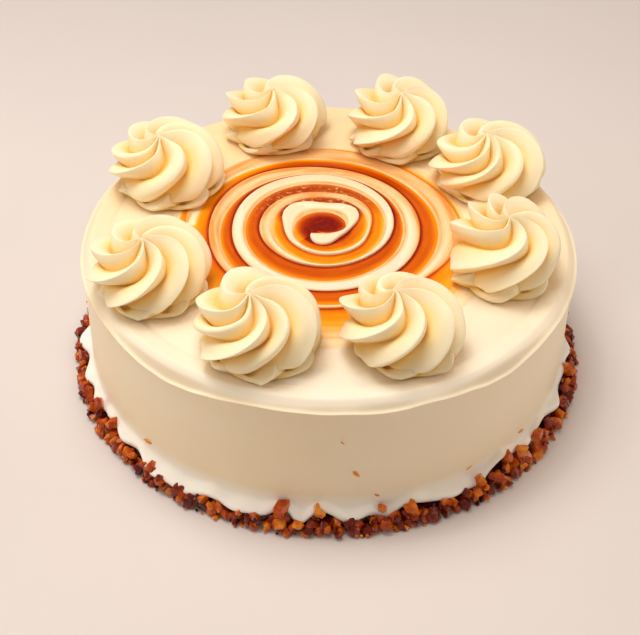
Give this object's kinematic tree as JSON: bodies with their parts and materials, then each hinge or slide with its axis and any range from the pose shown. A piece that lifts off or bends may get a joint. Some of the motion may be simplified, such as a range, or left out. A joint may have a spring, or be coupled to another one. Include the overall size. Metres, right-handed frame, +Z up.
{
  "type": "butterscotch cake",
  "caption": "Round cake in whipped cream with a spiral of orange glaze on top, piped cream rosettes round the edge and a praline band round the foot.",
  "frame": {"origin": "middle of the flat base, on the cake's axis", "axes": "+Z up along the cake's axis, -Y towards the side that the picture shows as the front, +X to that view's right"},
  "size_m": [0.2301, 0.2295, 0.0932],
  "materials": {
    "whipped_cream": "smooth spread whipped cream, soft satin",
    "piped_cream": "piped whipped cream, soft satin",
    "butterscotch_glaze": "wet glossy glaze",
    "praline": "broken caramelised nut, glossy"
  },
  "bodies": {
    "root": {"cream_body": "whipped_cream", "butterscotch_glaze": "butterscotch_glaze", "praline_ring": "praline", "rosette_1": "piped_cream", "rosette_2": "piped_cream", "rosette_3": "piped_cream", "rosette_4": "piped_cream", "rosette_5": "piped_cream", "rosette_6": "piped_cream", "rosette_7": "piped_cream", "rosette_8": "piped_cream"}
  },
  "joints": []
}
